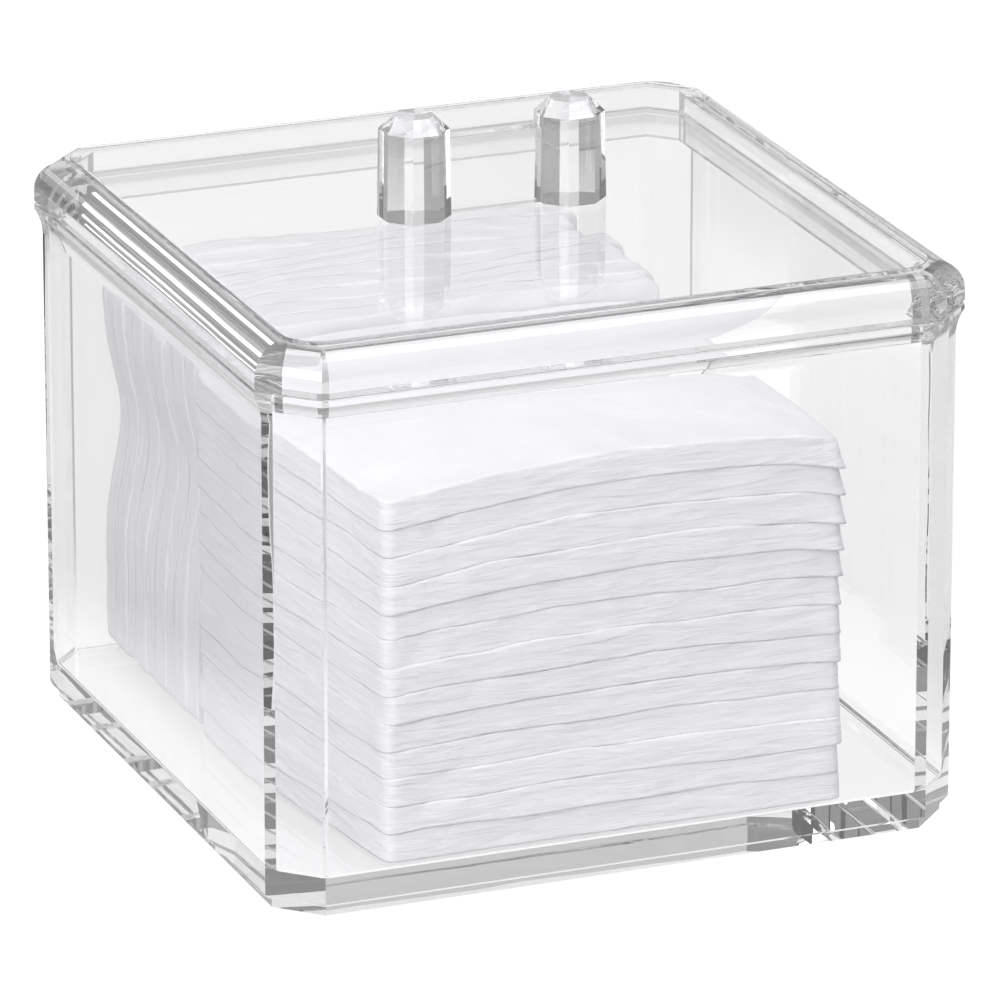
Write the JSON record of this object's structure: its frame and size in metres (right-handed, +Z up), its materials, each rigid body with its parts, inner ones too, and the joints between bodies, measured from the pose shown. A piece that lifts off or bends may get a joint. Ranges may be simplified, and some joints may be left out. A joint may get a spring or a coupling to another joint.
{
  "type": "cotton pad holder",
  "caption": "Clear square box with flat corners and a lift-off lid with a two-post handle, holding square cotton pads.",
  "frame": {"origin": "middle of the flat foot, on the surface that the box stands on", "axes": "+Z up, the way the lid lifts; +X to the right along the front wall and along the handle; +Y from the front wall to the back wall"},
  "size_m": [0.0944, 0.0944, 0.0871],
  "materials": {
    "clear_plastic": "polished, crystal clear",
    "cotton": "soft white cotton"
  },
  "bodies": {
    "box_body": {"box": "clear_plastic", "pad_lying_01": "cotton", "pad_lying_02": "cotton", "pad_lying_03": "cotton", "pad_lying_04": "cotton", "pad_lying_05": "cotton", "pad_lying_06": "cotton", "pad_lying_07": "cotton", "pad_lying_08": "cotton", "pad_lying_09": "cotton", "pad_lying_10": "cotton", "pad_lying_11": "cotton", "pad_lying_12": "cotton", "pad_lying_13": "cotton", "pad_standing_01": "cotton", "pad_standing_02": "cotton", "pad_standing_03": "cotton", "pad_standing_04": "cotton", "pad_standing_05": "cotton", "pad_standing_06": "cotton", "pad_standing_07": "cotton", "pad_standing_08": "cotton", "pad_standing_09": "cotton"},
    "lid_body": {"lid": "clear_plastic", "handle": "clear_plastic"}
  },
  "joints": [
    {"name": "lid_lift", "type": "slide", "parent": "box_body", "child": "lid_body", "axis": [0, 0, 1], "range_m": [0, 0.06]}
  ]
}
